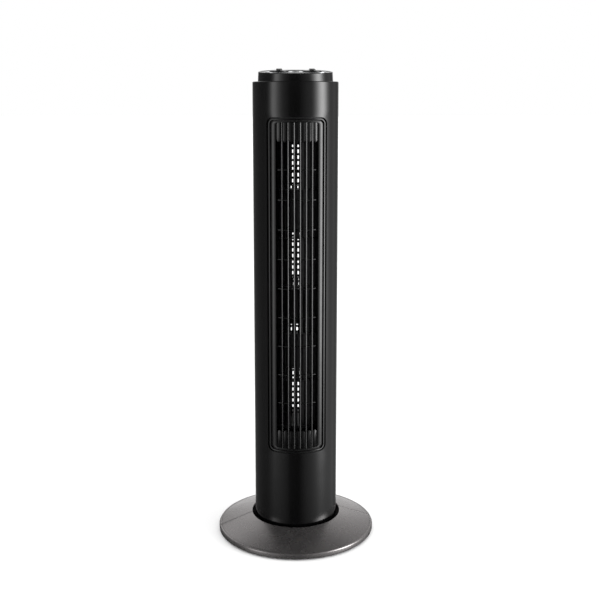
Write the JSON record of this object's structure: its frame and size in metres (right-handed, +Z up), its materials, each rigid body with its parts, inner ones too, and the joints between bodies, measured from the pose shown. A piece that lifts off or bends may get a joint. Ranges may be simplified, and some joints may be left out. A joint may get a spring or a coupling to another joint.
{
  "type": "tower fan",
  "caption": "Black oscillating tower fan: round column with a curved slatted front grille and two top dials, on a two-part round metallic grey base.",
  "frame": {"origin": "on the floor, under the column's axis, at the centre of the round base", "axes": "+Z up along the column's axis; the grille faces -Y at rest; +X is to the right when looking at the grille"},
  "size_m": [0.249, 0.249, 0.736],
  "materials": {
    "base_paint": "metallic dark grey paint on moulded plastic, satin gloss",
    "black_gloss": "glossy black moulded plastic",
    "black_grille": "semi-gloss black moulded plastic",
    "dark_moulding": "matt black moulded plastic",
    "wheel_plastic": "glass-filled black plastic",
    "knob_plastic": "satin black moulded plastic",
    "silver_panel": "satin silver foil",
    "rubber": "matt black rubber",
    "zinc_steel": "zinc-plated pressed steel",
    "screw_steel": "bright zinc plating",
    "black_screw": "blackened steel",
    "ground_steel": "ground bright steel",
    "white_nylon": "natural nylon",
    "cast_alloy": "die-cast aluminium",
    "lamination": "stacked steel laminations",
    "copper_wire": "enamelled copper wire",
    "bronze": "sintered bronze",
    "switch_resin": "phenolic resin"
  },
  "bodies": {
    "base": {"base_front_half": "base_paint", "base_rear_half": "base_paint", "rubber_feet": "rubber", "swivel_plate": "zinc_steel", "base_screws": "screw_steel", "slide_ring": "white_nylon", "swing_gear": "white_nylon", "retaining_ring": "zinc_steel", "cord_gland": "rubber"},
    "tower": {"turntable": "dark_moulding", "turntable_screws": "screw_steel", "front_housing": "black_gloss", "rear_housing": "black_gloss", "front_grille": "black_grille", "grille_trim": "black_gloss", "rear_grille": "black_grille", "handle_pocket": "dark_moulding", "top_cap": "black_gloss", "control_panel": "silver_panel", "housing_screws": "black_screw", "swing_motor": "zinc_steel", "swing_motor_screws": "screw_steel", "lower_deck": "dark_moulding", "motor_lower_cap": "cast_alloy", "stator_core": "lamination", "stator_windings": "copper_wire", "motor_upper_cap": "cast_alloy", "motor_bearings": "bronze", "motor_bolts": "screw_steel", "motor_mounts": "rubber", "capacitor": "cast_alloy", "scroll_wall": "dark_moulding", "cutoff_wall": "dark_moulding", "upper_deck": "dark_moulding", "bearing_bush": "rubber", "upper_bearing": "bronze", "bearing_cover": "cast_alloy", "bearing_screws": "screw_steel", "speed_switch": "switch_resin", "timer_unit": "switch_resin", "swing_switch": "switch_resin"},
    "impeller": {"impeller_stage_1": "wheel_plastic", "impeller_stage_2": "wheel_plastic", "impeller_stage_3": "wheel_plastic", "impeller_stage_4": "wheel_plastic", "impeller_stage_5": "wheel_plastic", "impeller_stage_6": "wheel_plastic", "impeller_hub": "wheel_plastic", "hub_screw": "black_screw", "impeller_top_plate": "wheel_plastic", "top_stub_shaft": "ground_steel", "motor_rotor": "lamination", "motor_shaft": "ground_steel"},
    "speed_dial": {"speed_knob": "knob_plastic", "speed_spindle": "ground_steel"},
    "timer_dial": {"timer_knob": "knob_plastic", "timer_spindle": "ground_steel"},
    "swing_key": {"swing_button": "knob_plastic"},
    "pinion": {"swing_pinion": "white_nylon"}
  },
  "joints": [
    {"name": "tower_swing", "type": "hinge", "parent": "base", "child": "tower", "pos_m": [0, 0, 0.02], "axis": [0, 0, 1], "range_deg": [-28.5, 41.5]},
    {"name": "impeller_spin", "type": "hinge", "parent": "tower", "child": "impeller", "pos_m": [0, 0.004, 0.4], "axis": [0, 0, 1], "continuous": true},
    {"name": "speed_turn", "type": "hinge", "parent": "tower", "child": "speed_dial", "pos_m": [-0.0249, -0.00798, 0.73044], "axis": [0, -0.0698, 0.9976], "range_deg": [-135, 0]},
    {"name": "timer_turn", "type": "hinge", "parent": "tower", "child": "timer_dial", "pos_m": [0.0249, -0.00798, 0.73044], "axis": [0, -0.0698, 0.9976], "range_deg": [-300, 0]},
    {"name": "swing_push", "type": "slide", "parent": "tower", "child": "swing_key", "axis": [0, 0.0698, -0.9976], "range_m": [0, 0.002], "stiffness_N_per_m": 200},
    {"name": "pinion_spin", "type": "hinge", "parent": "tower", "child": "pinion", "pos_m": [0, 0.03, 0.03], "axis": [0, 0, 1], "range_deg": [-86, 125]}
  ],
  "couplings": [
    {"joint": "pinion_spin", "follows": "tower_swing", "ratio": 3}
  ]
}
